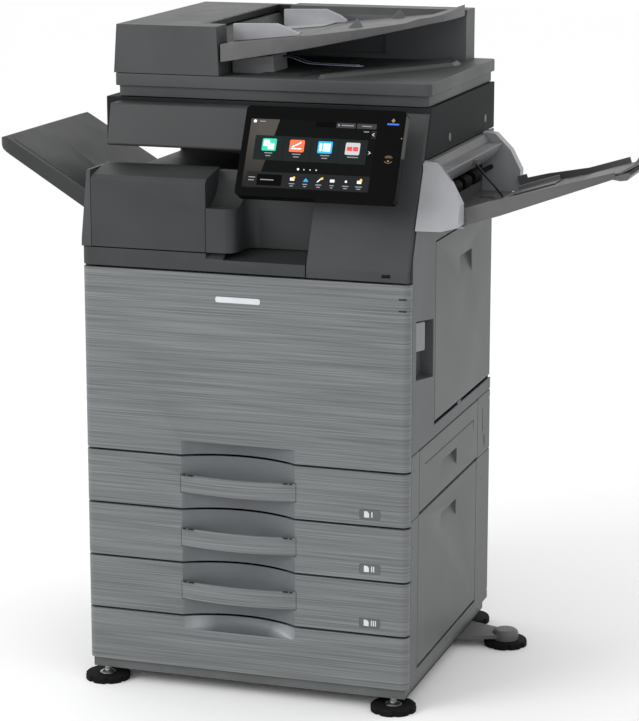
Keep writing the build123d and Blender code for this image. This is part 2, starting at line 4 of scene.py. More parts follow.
import bmesh
import bpy
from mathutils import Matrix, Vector

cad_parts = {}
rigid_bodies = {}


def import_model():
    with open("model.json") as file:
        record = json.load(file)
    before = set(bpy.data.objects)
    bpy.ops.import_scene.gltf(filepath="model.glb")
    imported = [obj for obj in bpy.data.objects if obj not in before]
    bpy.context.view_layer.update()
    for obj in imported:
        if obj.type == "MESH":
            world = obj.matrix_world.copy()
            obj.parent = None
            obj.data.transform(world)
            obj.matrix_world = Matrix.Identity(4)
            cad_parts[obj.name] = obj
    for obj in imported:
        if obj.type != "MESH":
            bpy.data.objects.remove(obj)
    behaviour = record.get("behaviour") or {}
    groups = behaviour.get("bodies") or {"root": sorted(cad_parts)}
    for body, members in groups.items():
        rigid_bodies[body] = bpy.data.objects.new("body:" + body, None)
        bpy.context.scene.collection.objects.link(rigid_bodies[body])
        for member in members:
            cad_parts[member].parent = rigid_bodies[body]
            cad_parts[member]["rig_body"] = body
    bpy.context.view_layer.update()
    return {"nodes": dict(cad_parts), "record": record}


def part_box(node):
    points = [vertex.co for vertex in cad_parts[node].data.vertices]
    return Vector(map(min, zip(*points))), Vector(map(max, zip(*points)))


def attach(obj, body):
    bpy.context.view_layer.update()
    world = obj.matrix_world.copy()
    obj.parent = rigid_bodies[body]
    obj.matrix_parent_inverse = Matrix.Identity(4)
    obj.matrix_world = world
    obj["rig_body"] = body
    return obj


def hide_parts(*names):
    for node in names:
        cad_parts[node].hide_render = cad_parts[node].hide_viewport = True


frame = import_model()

nodes = frame["nodes"]
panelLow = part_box("bottom_front_panel")[0]  # its left front edge is where x and y are counted from


def spot(x, y, z):  # millimetres on the machine to a point in the frame
    return Vector((panelLow.x + x / 1000, panelLow.y + y / 1000, z / 1000))


def newGroup(name, inputs, outputs):
    group = bpy.data.node_groups.new(name, "ShaderNodeTree")
    for label, kind, value in inputs:
        socket = group.interface.new_socket(label, in_out="INPUT", socket_type=kind)
        if value is not None:
            socket.default_value = value
    for label, kind in outputs:
        group.interface.new_socket(label, in_out="OUTPUT", socket_type=kind)
    return group, group.nodes.new("NodeGroupInput"), group.nodes.new("NodeGroupOutput")


def addNode(tree, kind, **settings):
    node = tree.nodes.new(kind)
    for key, value in settings.items():
        if key in node.inputs.keys():
            node.inputs[key].default_value = value
        else:
            setattr(node, key, value)
    return node


def mathNode(tree, operation, first, second=None):
    node = tree.nodes.new("ShaderNodeMath")
    node.operation = operation
    for index, value in enumerate((first, second)):
        if value is None:
            continue
        if isinstance(value, (int, float)):
            node.inputs[index].default_value = value
        else:
            tree.links.new(value, node.inputs[index])
    return node.outputs[0]


def times(tree, first, second):
    return mathNode(tree, "MULTIPLY", first, second)


def buildMouldGrain():  # the fine sand texture of moulded plastic, as a height and as a mask
    group, gin, gout = newGroup("mouldGrain",
                                [("Scale", "NodeSocketFloat", 1400.0), ("Blotch", "NodeSocketFloat", 9.0)],
                                [("Height", "NodeSocketFloat"), ("Blotches", "NodeSocketFloat")])
    coord = group.nodes.new("ShaderNodeTexCoord")
    pits = addNode(group, "ShaderNodeTexVoronoi", feature="SMOOTH_F1")
    group.links.new(coord.outputs["Object"], pits.inputs["Vector"])
    group.links.new(gin.outputs["Scale"], pits.inputs["Scale"])
    sand = addNode(group, "ShaderNodeTexNoise", Detail=2.0, Roughness=0.6)
    group.links.new(coord.outputs["Object"], sand.inputs["Vector"])
    group.links.new(gin.outputs["Scale"], sand.inputs["Scale"])
    group.links.new(times(group, pits.outputs["Distance"], sand.outputs["Fac"]), gout.inputs["Height"])
    blotch = addNode(group, "ShaderNodeTexNoise", Detail=3.0, Roughness=0.55)
    group.links.new(coord.outputs["Object"], blotch.inputs["Vector"])
    group.links.new(gin.outputs["Blotch"], blotch.inputs["Scale"])
    group.links.new(blotch.outputs["Fac"], gout.inputs["Blotches"])
    return group


def buildStreaks():  # long level streaks of uneven strength, closely set
    group, gin, gout = newGroup("levelStreaks",
                                [("Pitch", "NodeSocketFloat", 330.0), ("Run", "NodeSocketFloat", 3.2)],
                                [("Streak", "NodeSocketFloat"), ("Band", "NodeSocketFloat")])
    coord = group.nodes.new("ShaderNodeTexCoord")
    split = group.nodes.new("ShaderNodeSeparateXYZ")
    group.links.new(coord.outputs["Object"], split.inputs[0])
    layers = []
    for pitchShare, runShare, shift in ((1.0, 1.0, 0.0), (0.3, 0.7, 5.3), (1.9, 1.6, 11.7)):
        join = group.nodes.new("ShaderNodeCombineXYZ")
        along = times(group, times(group, split.outputs["X"], gin.outputs["Run"]), runShare)
        deep = times(group, times(group, split.outputs["Y"], gin.outputs["Run"]), runShare)
        up = times(group, times(group, split.outputs["Z"], gin.outputs["Pitch"]), pitchShare)
        group.links.new(mathNode(group, "ADD", along, shift), join.inputs[0])
        group.links.new(deep, join.inputs[1])
        group.links.new(up, join.inputs[2])
        noise = addNode(group, "ShaderNodeTexNoise", Scale=1.0, Detail=1.0, Roughness=0.5)
        group.links.new(join.outputs[0], noise.inputs["Vector"])
        layers.append(noise.outputs["Fac"])
    fine = times(group, layers[2], 0.36)
    mixed = mathNode(group, "ADD", times(group, layers[0], 0.5), times(group, layers[1], 0.14))
    group.links.new(mathNode(group, "ADD", mixed, fine), gout.inputs["Streak"])
    group.links.new(layers[1], gout.inputs["Band"])
    return group


def buildEdgeRub():  # bright, rubbed corners; 0 on flats and 1 on sharp edges
    group, gin, gout = newGroup("edgeRub",
                                [("Radius", "NodeSocketFloat", 0.0012), ("Breakup", "NodeSocketFloat", 60.0)],
                                [("Mask", "NodeSocketFloat")])
    rounded = addNode(group, "ShaderNodeBevel", samples=4)
    group.links.new(gin.outputs["Radius"], rounded.inputs["Radius"])
    shape = group.nodes.new("ShaderNodeNewGeometry")
    dot = addNode(group, "ShaderNodeVectorMath", operation="DOT_PRODUCT")
    group.links.new(rounded.outputs["Normal"], dot.inputs[0])
    group.links.new(shape.outputs["Normal"], dot.inputs[1])
    bend = mathNode(group, "SUBTRACT", 1.0, dot.outputs["Value"])
    coord = group.nodes.new("ShaderNodeTexCoord")
    breakup = addNode(group, "ShaderNodeTexNoise", Detail=4.0, Roughness=0.65)
    group.links.new(coord.outputs["Object"], breakup.inputs["Vector"])
    group.links.new(gin.outputs["Breakup"], breakup.inputs["Scale"])
    strong = times(group, times(group, bend, breakup.outputs["Fac"]), 7.0)
    capped = mathNode(group, "MINIMUM", strong, 1.0)
    group.links.new(capped, gout.inputs["Mask"])
    return group


def buildDust():  # a thin film that settles on what faces up
    group, gin, gout = newGroup("dustFilm", [("Amount", "NodeSocketFloat", 0.5)],
                                [("Mask", "NodeSocketFloat")])
    shape = group.nodes.new("ShaderNodeNewGeometry")
    split = group.nodes.new("ShaderNodeSeparateXYZ")
    group.links.new(shape.outputs["Normal"], split.inputs[0])
    facing = mathNode(group, "MAXIMUM", split.outputs["Z"], 0.0)
    coord = group.nodes.new("ShaderNodeTexCoord")
    cloud = addNode(group, "ShaderNodeTexNoise", Scale=14.0, Detail=6.0, Roughness=0.7)
    group.links.new(coord.outputs["Object"], cloud.inputs["Vector"])
    mask = times(group, times(group, facing, cloud.outputs["Fac"]), gin.outputs["Amount"])
    group.links.new(mask, gout.inputs["Mask"])
    return group


mouldGrain = buildMouldGrain()
levelStreaks = buildStreaks()
edgeRub = buildEdgeRub()
dustFilm = buildDust()
print("node groups ready")


def groupNode(tree, group, **values):
    node = tree.nodes.new("ShaderNodeGroup")
    node.node_tree = group
    for key, value in values.items():
        node.inputs[key].default_value = value
    return node


def mixColour(tree, factor, first, second, blend="MIX"):
    node = tree.nodes.new("ShaderNodeMix")
    node.data_type = "RGBA"
    node.blend_type = blend
    for key, value in (("Factor", factor), ("A", first), ("B", second)):
        socket = node.inputs[key]
        if isinstance(value, (int, float)):
            socket.default_value = value
        elif isinstance(value, (tuple, list)):
            socket.default_value = (*value[:3], 1.0)
        else:
            tree.links.new(value, socket)
    return node.outputs["Result"]


def remap(tree, value, low, high, newLow, newHigh):
    node = tree.nodes.new("ShaderNodeMapRange")
    tree.links.new(value, node.inputs["Value"])
    for key, number in (("From Min", low), ("From Max", high), ("To Min", newLow), ("To Max", newHigh)):
        node.inputs[key].default_value = number
    return node.outputs["Result"]


def startMaterial(name):
    material = bpy.data.materials.new(name)
    material.use_nodes = True
    return material, material.node_tree, material.node_tree.nodes["Principled BSDF"]


def toLinear(colour):  # 0-255 display colour to the shader's linear one
    return tuple((c / 255 / 12.92) if c <= 10 else ((c / 255 + 0.055) / 1.055) ** 2.4 for c in colour)


def scaled(colour, share, lift=0.0):
    return tuple(min(1.0, c * share + lift) for c in colour)


def addGrainBump(tree, shader, height, strength, distance):
    raised = addNode(tree, "ShaderNodeBump", Strength=strength, Distance=distance)
    tree.links.new(height, raised.inputs["Height"])
    tree.links.new(raised.outputs["Normal"], shader.inputs["Normal"])


def mouldedPlastic(name, colour, grainScale=1400, bump=0.12, rough=(0.42, 0.55), rub=0.25, dust=0.05,
                   spec=0.3):
    material, tree, shader = startMaterial(name)
    base = toLinear(colour)
    grain = groupNode(tree, mouldGrain, Scale=grainScale)
    wear = groupNode(tree, edgeRub)
    film = groupNode(tree, dustFilm, Amount=dust)
    blotches = remap(tree, grain.outputs["Blotches"], 0.3, 0.7, 0.0, 1.0)
    body = mixColour(tree, blotches, scaled(base, 0.9), scaled(base, 1.12, 0.004))
    body = mixColour(tree, times(tree, wear.outputs["Mask"], rub), body, scaled(base, 1.45, 0.008))
    body = mixColour(tree, film.outputs["Mask"], body, (0.32, 0.31, 0.29))
    tree.links.new(body, shader.inputs["Base Color"])
    tree.links.new(remap(tree, grain.outputs["Blotches"], 0.3, 0.7, *rough), shader.inputs["Roughness"])
    addGrainBump(tree, shader, grain.outputs["Height"], bump, 0.0006)
    shader.inputs["Specular IOR Level"].default_value = spec
    return material


def streakedPlastic(name, colour, contrast=0.5, bump=0.12):
    material, tree, shader = startMaterial(name)
    base = toLinear(colour)
    lines = groupNode(tree, levelStreaks, Pitch=460.0, Run=3.6)
    grain = groupNode(tree, mouldGrain, Scale=1600.0, Blotch=5.0)
    wear = groupNode(tree, edgeRub)
    streak = remap(tree, lines.outputs["Streak"], 0.36, 0.64, 0.0, 1.0)
    body = mixColour(tree, streak, scaled(base, 1 - contrast * 0.6), scaled(base, 1 + contrast * 0.7))
    body = mixColour(tree, times(tree, wear.outputs["Mask"], 0.25), body, scaled(base, 1.4))
    tree.links.new(body, shader.inputs["Base Color"])
    tree.links.new(remap(tree, lines.outputs["Band"], 0.3, 0.7, 0.36, 0.5), shader.inputs["Roughness"])
    both = mathNode(tree, "ADD", lines.outputs["Streak"], times(tree, grain.outputs["Height"], 0.15))
    addGrainBump(tree, shader, both, bump, 0.0005)
    shader.inputs["Specular IOR Level"].default_value = 0.3
    return material


def plainMetal(name, colour, rough=(0.28, 0.42)):
    material, tree, shader = startMaterial(name)
    base = toLinear(colour)
    lines = groupNode(tree, levelStreaks, Pitch=900.0, Run=6.0)
    wear = groupNode(tree, edgeRub)
    body = mixColour(tree, lines.outputs["Streak"], scaled(base, 0.8), scaled(base, 1.15))
    body = mixColour(tree, times(tree, wear.outputs["Mask"], 0.4), body, scaled(base, 1.4))
    tree.links.new(body, shader.inputs["Base Color"])
    tree.links.new(remap(tree, lines.outputs["Band"], 0.3, 0.7, *rough), shader.inputs["Roughness"])
    addGrainBump(tree, shader, lines.outputs["Streak"], 0.08, 0.0003)
    shader.inputs["Metallic"].default_value = 1.0
    return material


def glossBlack(name, colour, rough=0.14, sheen=0.06):
    material, tree, shader = startMaterial(name)
    base = toLinear(colour)
    grain = groupNode(tree, mouldGrain, Scale=700.0, Blotch=22.0)
    body = mixColour(tree, grain.outputs["Blotches"], scaled(base, 0.85), scaled(base, 1.15))
    tree.links.new(body, shader.inputs["Base Color"])
    smear = remap(tree, grain.outputs["Blotches"], 0.45, 0.75, rough, rough + 0.07)
    tree.links.new(smear, shader.inputs["Roughness"])
    shader.inputs["Specular IOR Level"].default_value = sheen
    shader.inputs["Coat Weight"].default_value = sheen * 0.3
    shader.inputs["Coat Roughness"].default_value = 0.04
    return material


def distanceTo(tree, centre):  # how far the shaded point is from a place on the machine
    coord = tree.nodes.new("ShaderNodeTexCoord")
    away = addNode(tree, "ShaderNodeVectorMath", operation="DISTANCE")
    tree.links.new(coord.outputs["Object"], away.inputs[0])
    away.inputs[1].default_value = centre
    return away.outputs["Value"]


def scoopWithPaintedGlints(name, colour):  # painted highlights: the scoop's two lower corners are painted lighter
    material, tree, shader = startMaterial(name)
    base = toLinear(colour)
    grain = groupNode(tree, mouldGrain, Scale=1400.0)
    # painted highlights: the colour is lightened near the scoop's two lower corners
    paintedGlints = [remap(tree, distanceTo(tree, centre), 0.006, 0.036, 1.0, 0.0)
              for centre in (spot(203, 12, 121), spot(372, 10, 118))]
    both = mathNode(tree, "MAXIMUM", paintedGlints[0], paintedGlints[1])
    body = mixColour(tree, grain.outputs["Blotches"], scaled(base, 0.94), scaled(base, 1.06))
    body = mixColour(tree, times(tree, both, 0.8), body, scaled(base, 2.3))
    tree.links.new(body, shader.inputs["Base Color"])
    tree.links.new(remap(tree, both, 0.0, 1.0, 0.5, 0.32), shader.inputs["Roughness"])
    addGrainBump(tree, shader, grain.outputs["Height"], 0.1, 0.0005)
    return material


def litColour(name, colour, glow=0.55, fadeFrom=None):  # a glowing patch of the display; also used for painted light: with fadeFrom, a painted reflection fading to dark away from that point, and a painted glow on printed bezel marks
    material, tree, shader = startMaterial(name)
    base = toLinear(colour)
    grain = groupNode(tree, mouldGrain, Scale=3000.0, Blotch=120.0)
    shade = mixColour(tree, grain.outputs["Blotches"], scaled(base, 0.92), scaled(base, 1.05))
    if fadeFrom:
        # painted reflection: the colour fades to near black away from fadeFrom
        fade = remap(tree, distanceTo(tree, fadeFrom), 0.015, 0.12, 0.0, 1.0)
        shade = mixColour(tree, fade, shade, (0.006, 0.006, 0.006))
    tree.links.new(shade, shader.inputs["Base Color"])
    tree.links.new(shade, shader.inputs["Emission Color"])
    shader.inputs["Emission Strength"].default_value = glow
    shader.inputs["Roughness"].default_value = 0.25
    shader.inputs["Specular IOR Level"].default_value = 0.04
    return material


paint = {
    "striped": streakedPlastic("stripedGrey", (101, 104, 105)),
    "smoothGrey": mouldedPlastic("smoothGrey", (91, 94, 97)),
    # the grip scoop's grey, with painted highlights at its lower corners
    "scoopGrey": scoopWithPaintedGlints("scoopGrey", (90, 94, 96)),
    "charcoal": mouldedPlastic("charcoalPlastic", (58, 60, 61)),
    "charcoalDark": mouldedPlastic("charcoalDark", (43, 45, 46)),
    "charcoalDeep": mouldedPlastic("charcoalDeep", (32, 34, 35), spec=0.06, rough=(0.6, 0.7)),
    "sideGrey": mouldedPlastic("sideGrey", (88, 90, 90), rub=0.2, spec=0.2),
    "pillarGrey": mouldedPlastic("pillarGrey", (79, 82, 85), rub=0.2, spec=0.2),
    "lightGrey": mouldedPlastic("lightGrey", (134, 136, 139), bump=0.06),
    "cheekGrey": mouldedPlastic("cheekGrey", (148, 150, 153), bump=0.06),
    "fasciaGrey": mouldedPlastic("fasciaGrey", (49, 51, 52)),
    "trayDark": mouldedPlastic("trayDark", (38, 40, 41)),
    "latchGrey": mouldedPlastic("latchGrey", (112, 113, 115), bump=0.06),
    "guideGrey": mouldedPlastic("guideGrey", (150, 151, 154), bump=0.05),
    "midGrey": mouldedPlastic("midGrey", (88, 88, 89), bump=0.08),
    "black": mouldedPlastic("blackPlastic", (17, 18, 18), rub=0.15),
    "rubber": mouldedPlastic("blackRubber", (14, 14, 14), rough=(0.6, 0.8), rub=0.1, dust=0.02, spec=0.06),
    "foam": mouldedPlastic("whiteFoam", (216, 214, 206), grainScale=500, bump=0.3, rough=(0.85, 0.95),
                           rub=0.0),
    "badge": mouldedPlastic("paleBadge", (196, 198, 202), bump=0.02, rough=(0.25, 0.35), rub=0.1,
                            dust=0.0),
    "zinc": plainMetal("zincSheet", (176, 178, 180)),
    "wire": plainMetal("steelWire", (112, 118, 132), rough=(0.2, 0.3)),
    "panelGloss": glossBlack("panelGloss", (9, 9, 10), sheen=0.035),
    "drumCoat": glossBlack("drumCoat", (20, 88, 96), rough=0.12, sheen=0.5),
    "sleeve": mouldedPlastic("fuserSleeve", (146, 84, 58), rough=(0.25, 0.35), rub=0.05, dust=0.0),
}
print("materials ready")


def machine(point):  # the other way round: a point in the frame to millimetres on the machine
    return ((point.x - panelLow.x) * 1000, (point.y - panelLow.y) * 1000, point.z * 1000)


def repaintFaces(piece, choose, material):
    piece.data.materials.append(material)
    slotIndex = len(piece.data.materials) - 1
    for polygon in piece.data.polygons:
        if choose(polygon.center, polygon.normal):
            polygon.material_index = slotIndex


def link(thing):
    bpy.context.scene.collection.objects.link(thing)
    return thing


def smoothBevel(piece, width, segments=3, angle=32):
    if width:
        bevel = piece.modifiers.new("softEdges", "BEVEL")
        bevel.width = width
        bevel.segments = segments
        bevel.limit_method = "ANGLE"
        bevel.angle_limit = math.radians(angle)
        bevel.harden_normals = True
        bevel.use_clamp_overlap = True
    for polygon in piece.data.polygons:
        polygon.use_smooth = True
    piece.data.set_sharp_from_angle(angle=math.radians(angle))
    return piece


def fromMesh(name, mesh, material, body, replaced=()):
    piece = link(bpy.data.objects.new(name, mesh))
    mesh.materials.clear()
    for item in (material if isinstance(material, (list, tuple)) else [material]):
        mesh.materials.append(item)
    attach(piece, body)
    if replaced:
        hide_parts(*replaced)
    return piece


def cleanCopy(node):  # the CAD shape with its triangles merged back into whole faces
    source = nodes[node].data
    work = bmesh.new()
    work.from_mesh(source)
    bmesh.ops.remove_doubles(work, verts=work.verts, dist=2e-6)
    bmesh.ops.dissolve_limit(work, angle_limit=math.radians(0.6), verts=work.verts, edges=work.edges)
    mesh = bpy.data.meshes.new(node + "Shape")
    work.to_mesh(mesh)
    work.free()
    return mesh


def softened(node, name, material, width):
    mesh = cleanCopy(node)
    piece = fromMesh(name, mesh, material, nodes[node]["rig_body"], [node])
    return smoothBevel(piece, width)


slotOf = {s["node"]: s["material_slot"] for s in frame["record"]["subparts"]}


def troughFaces(centre, normal):  # the smooth walls of the grip trough
    x, y, z = machine(centre)
    return 181 < x < 392 and (y > 0.6 or abs(normal.y) < 0.9) and -2 < y < 34


def innerFaces(low, high):  # faces whose middle lies in a box given in millimetres
    return lambda centre, normal: all(a <= v <= b for a, v, b in zip(low, machine(centre), high))


def wallFrontPaintedLight(centre, normal):  # the face of the feeder's rear wall, in the shade of the tray, painted a paler grey: painted light
    x, y, z = machine(centre)
    return x > 213 and 498 < y < 509 and normal.y < -0.9


def feedRampPaintedShade(centre, normal):  # the sloping mouth the sheets go into, painted black: painted shade of the gap
    x, y, z = machine(centre)
    return 150 < x < 214 and z > 1126 and normal.x > 0.3


def mouthEdgePaintedShade(centre, normal):  # the lid's cut edge over that mouth, painted black: painted shade of the gap
    x, y, z = machine(centre)
    return 172 < x < 221 and 170 < y < 547 and abs(normal.z) < 0.3


def bypassInside(centre, normal):  # floor and cover of the bypass mouth, but not its cheeks
    x, y, z = machine(centre)
    return 76 < y < 466 and abs(normal.y) < 0.5 and x < 667


finishOf = {
    "striped_grey": "striped", "dark_plastic": "charcoal", "side_grey": "sideGrey", "light_grey": "lightGrey",
    "mid_grey": "midGrey", "black_gloss": "panelGloss", "black_plastic": "black", "zinc_steel": "zinc",
    "rubber": "rubber", "drum_coat": "drumCoat", "fuser_sleeve": "sleeve", "glass": "panelGloss",
}
otherFinish = {
    "left_side_panel": [(innerFaces((-1, 0, 790), (19, 80, 930)), "charcoal")],
    # adf_body: the rear wall's face is painted a paler grey, painted light in the tray's shade
    "adf_body": [(innerFaces((209, 185, 1079), (214, 545, 1140)), "charcoalDeep"),
                 (wallFrontPaintedLight, "smoothGrey"), (feedRampPaintedShade, "black")],
    # the feed ramp on adf_body and this cut edge are painted black: painted shade of the gap there
    "adf_top_cover": [(mouthEdgePaintedShade, "black")],
    "fascia": [(innerFaces((594, 0, 700), (597, 200, 1100)), "charcoalDeep")],
    "bypass_housing": [(bypassInside, "midGrey")],
}
stripedFronts = ["front_door", "drawer_1_front", "drawer_2_front", "drawer_3_front"]
for name in stripedFronts:
    otherFinish[name] = [(troughFaces, "smoothGrey")]
# the scoop's trough gets the grey with painted highlights
otherFinish["bottom_front_panel"] = [(troughFaces, "scoopGrey")]
softness = dict.fromkeys(stripedFronts + ["bottom_front_panel"], 0.0008)  # edge rounding in metres
softness.update(dict.fromkeys(["front_skirt", "fascia"], 0.0009))
softness.update(dict.fromkeys(["drawer_1_handle", "drawer_2_handle", "drawer_3_handle"], 0.0009))
softness.update({
    "adf_top_cover": 0.0022, "left_front_cover": 0.0026, "scanner_front_cover": 0.003, "op_panel": 0.0016,
    "document_guide_front": 0.0028, "document_guide_rear": 0.0028, "bypass_housing": 0.0035,
    "left_exit_tray": 0.0025, "bypass_tray": 0.002, "outriggers": 0.003,
})
plainSoftness = 0.0012
finishOfNode = {
    "front_skirt": "charcoalDark", "left_front_cover": "charcoalDark", "scanner_front_cover": "charcoalDark",
    "scanner_base": "charcoalDeep", "panel_mount": "charcoalDeep", "fascia": "fasciaGrey",
    "left_exit_tray": "trayDark", "bypass_guide_front": "latchGrey", "bypass_guide_rear": "latchGrey",
    # exit_tray_floor is painted black: painted shade of the cavity it lies in
    "document_guide_front": "guideGrey", "document_guide_rear": "guideGrey", "exit_tray_floor": "black",
    "frame_rear_plate": "black", "bypass_housing": "cheekGrey", "side_door_latch": "latchGrey",
    "main_right_panel": "pillarGrey",
}
shown = {}
for node in sorted(nodes):
    parts = node.split("_")
    name = parts[0] + "".join(p.capitalize() for p in parts[1:])
    finish = finishOfNode.get(node, finishOf[slotOf[node]])
    shown[node] = softened(node, name, paint[finish], softness.get(node, plainSoftness))
    for choose, other in otherFinish.get(node, ()):
        repaintFaces(shown[node], choose, paint[other])
print("bodywork ready")


def onFront(y):  # each of these lays a flat shape on a face: u and v along it, w out of it
    return lambda u, v, w: spot(u, y - w, v)


def onRight(x):
    return lambda u, v, w: spot(x + w, u, v)


def onTop(z):
    return lambda u, v, w: spot(u, v, z + w)


touchPanel = {"tilt": math.radians(26.6), "middle": (438, -4, 973)}


def onPanel(u, v, w):  # the touch panel's own face: right, up the slope, out of the glass
    sine, cosine = math.sin(touchPanel["tilt"]), math.cos(touchPanel["tilt"])
    x, y, z = touchPanel["middle"]
    return spot(x + u, y + v * sine - w * cosine, z + v * cosine + w * sine)


def roundRect(u0, v0, u1, v1, radius=1.0, steps=4):
    corners = ((u1 - radius, v1 - radius, 0), (u0 + radius, v1 - radius, 90),
               (u0 + radius, v0 + radius, 180), (u1 - radius, v0 + radius, 270))
    return [(cu + radius * math.cos(math.radians(start + 90 * k / steps)),
             cv + radius * math.sin(math.radians(start + 90 * k / steps)))
            for cu, cv, start in corners for k in range(steps + 1)]


def roundRects(boxes, radius):
    return [roundRect(*box, radius) for box in boxes]


def disc(u, v, radius, steps=32):
    return [(u + radius * math.cos(math.tau * k / steps), v + radius * math.sin(math.tau * k / steps))
            for k in range(steps)]


def joinRings(work, lower, upper):
    for k in range(len(lower)):
        following = (k + 1) % len(lower)
        work.faces.new((lower[k], lower[following], upper[following], upper[k]))


def closedMesh(work, name):  # turns the faces outward and makes the mesh
    bmesh.ops.recalc_face_normals(work, faces=work.faces)
    mesh = bpy.data.meshes.new(name)
    work.to_mesh(mesh)
    work.free()
    return mesh


def plates(name, outlines, place, low, high, material, body, bevel=0.0, shrink=0.0):
    work = bmesh.new()  # flat shapes raised from low to high off a face
    for outline in outlines:
        midU = sum(p[0] for p in outline) / len(outline)
        midV = sum(p[1] for p in outline) / len(outline)
        rings = []
        for level, share in ((low, 1.0), (high, 1.0 - shrink)):
            rings.append([work.verts.new(place(midU + (u - midU) * share, midV + (v - midV) * share, level))
                          for u, v in outline])
        work.faces.new(rings[1])
        work.faces.new(list(reversed(rings[0])))
        joinRings(work, *rings)
    return smoothBevel(fromMesh(name, closedMesh(work, name), material, body), bevel, 2, 40)


def turned(name, profile, centres, axis, material, body, steps=40):
    work = bmesh.new()  # a profile of (radius, height) turned about an axis, once for each centre
    turn = Vector(axis).to_track_quat("Z", "Y").to_matrix()
    for centre in centres:
        rings = []
        for radius, height in profile:
            circle = [Vector((u, v, height)) / 1000 for u, v in disc(0, 0, radius, steps)]
            rings.append([work.verts.new(spot(*centre) + turn @ point) for point in circle])
        for lower, upper in zip(rings, rings[1:]):
            joinRings(work, lower, upper)
        work.faces.new(list(reversed(rings[0])))
        work.faces.new(rings[-1])
    return smoothBevel(fromMesh(name, closedMesh(work, name), material, body), 0.0, 2, 30)


def bent(points, steps=6):  # rounds a path's corners
    path = [Vector(p) for p in points]
    out = [path[0]]
    for before, corner, after in zip(path, path[1:], path[2:]):
        start = corner.lerp(before, min(0.35, 9 / max((corner - before).length, 1)))
        end = corner.lerp(after, min(0.35, 9 / max((corner - after).length, 1)))
        for k in range(steps + 1):
            t = k / steps
            out.append(start.lerp(corner, t).lerp(corner.lerp(end, t), t))
    return out + [path[-1]]


def tube(name, points, radius, material, body, sides=14):
    work = bmesh.new()
    path = bent(points)
    rings = []
    for k, point in enumerate(path):
        ahead = (path[min(k + 1, len(path) - 1)] - path[max(k - 1, 0)]).normalized()
        upright = Vector((0.0, 0.0, 1.0)) if abs(ahead.z) < 0.95 else Vector((0.0, 1.0, 0.0))
        across = ahead.cross(upright).normalized()
        over = across.cross(ahead)
        rings.append([work.verts.new(spot(*(point + across * u + over * v)))
                      for u, v in disc(0, 0, radius, sides)])
    for lower, upper in zip(rings, rings[1:]):
        joinRings(work, lower, upper)
    work.faces.new(rings[0])
    work.faces.new(list(reversed(rings[-1])))
    return smoothBevel(fromMesh(name, closedMesh(work, name), material, body), 0.0)


def hullPiece(name, groups, material, body, bevel=0.001, segments=3):
    work = bmesh.new()  # convex lumps, each from its corners
    for corners in groups:
        verts = [work.verts.new(spot(*c)) for c in corners]
        made = bmesh.ops.convex_hull(work, input=verts)
        loose = [g for g in made["geom_interior"] if isinstance(g, bmesh.types.BMVert)]
        bmesh.ops.delete(work, geom=loose, context="VERTS")
    bmesh.ops.dissolve_limit(work, angle_limit=0.01, verts=work.verts, edges=work.edges)
    return smoothBevel(fromMesh(name, closedMesh(work, name), material, body), bevel, segments, 25)


shades = {
    "screenBack": litColour("screenBack", (9, 10, 10), 0.3),
    # painted reflection: glare on the display, glowing and fading to dark away from its upper left
    "screenSheen": litColour("screenSheen", (68, 65, 61), 0.3, onPanel(-98, 44, 0)),
    "screenHole": litColour("screenHole", (2, 2, 2), 0.1),
    "tileDark": litColour("tileDark", (25, 30, 30), 0.35),
    "barGrey": litColour("barGrey", (29, 30, 31), 0.35),
    "buttonGrey": litColour("buttonGrey", (50, 52, 54), 0.4),
    "markWhite": litColour("markWhite", (214, 216, 218), 0.5),
    "captionGrey": litColour("captionGrey", (128, 130, 132), 0.4),
    "iconGreen": litColour("iconGreen", (52, 168, 140), 0.65),
    "iconOrange": litColour("iconOrange", (232, 96, 66), 0.65),
    "iconBlue": litColour("iconBlue", (40, 150, 206), 0.65),
    "iconSilver": litColour("iconSilver", (164, 164, 166), 0.55),
    "iconRed": litColour("iconRed", (190, 62, 58), 0.6),
    "lampBlue": litColour("lampBlue", (52, 92, 178), 0.9),
    # printed marks on the bezel; their glow is painted light
    "markTan": litColour("markTan", (128, 110, 84), 0.4),
    "markYellow": litColour("markYellow", (232, 164, 56), 0.7),
}


def screenLayer(name, outlines, low, high, material, bevel=0.0):
    plates(name, outlines, onPanel, low, high, material, "touch_panel", bevel)


display = {
    "glass": (-137.5, -77, 137.5, 77), "back": (-129.5, -65, 93.5, 56.5),
    # sheen: the outline of the painted reflection at the display's left
    "sheen": [(-129.3, 56.3), (-129.3, -64.8), (-104.5, -64.8), (-78.5, 56.3)],
    "bars": [(-122.4, -64.2, 92.4, -36.9), (84.7, 29.3, 93.3, 43.3)],
    "tiles": [(-117.1, -16, -65.8, 27.3), (-65.2, -16.2, -17.5, 27), (-16.9, -16.3, 31, 26.6),
              (31.6, -16.6, 80.9, 26.2)],
    "buttons": [(22.2, 46, 55.4, 54.8), (58, 46, 91.8, 54.8)],
    "topHole": (-14.7, 46, 19.9, 55.6), "lowHole": (-103.9, -60.5, -60.1, -41),
}
icons = {
    "Green": (-103.6, 0.4, -78.5, 22.2), "Orange": (-54.9, 0.3, -29.1, 21.6),
    "Blue": (-5.2, -0.1, 20.1, 21.2), "Silver": (43.1, -0.6, 68.3, 20.9),
    "redBars": [(46, 6.4, 55, 13.5), (56.5, 6.4, 65.5, 13.5)],
    "yellowDots": [(-39, -45, 2.3), (10.4, -44, 2.1), (78, -43.6, 2.3)],
    "bluePeaks": [[(-22, -51), (-18, -44.5), (-14.4, -51)], [(-19, -51), (-16.2, -46), (-13, -51)]],
}


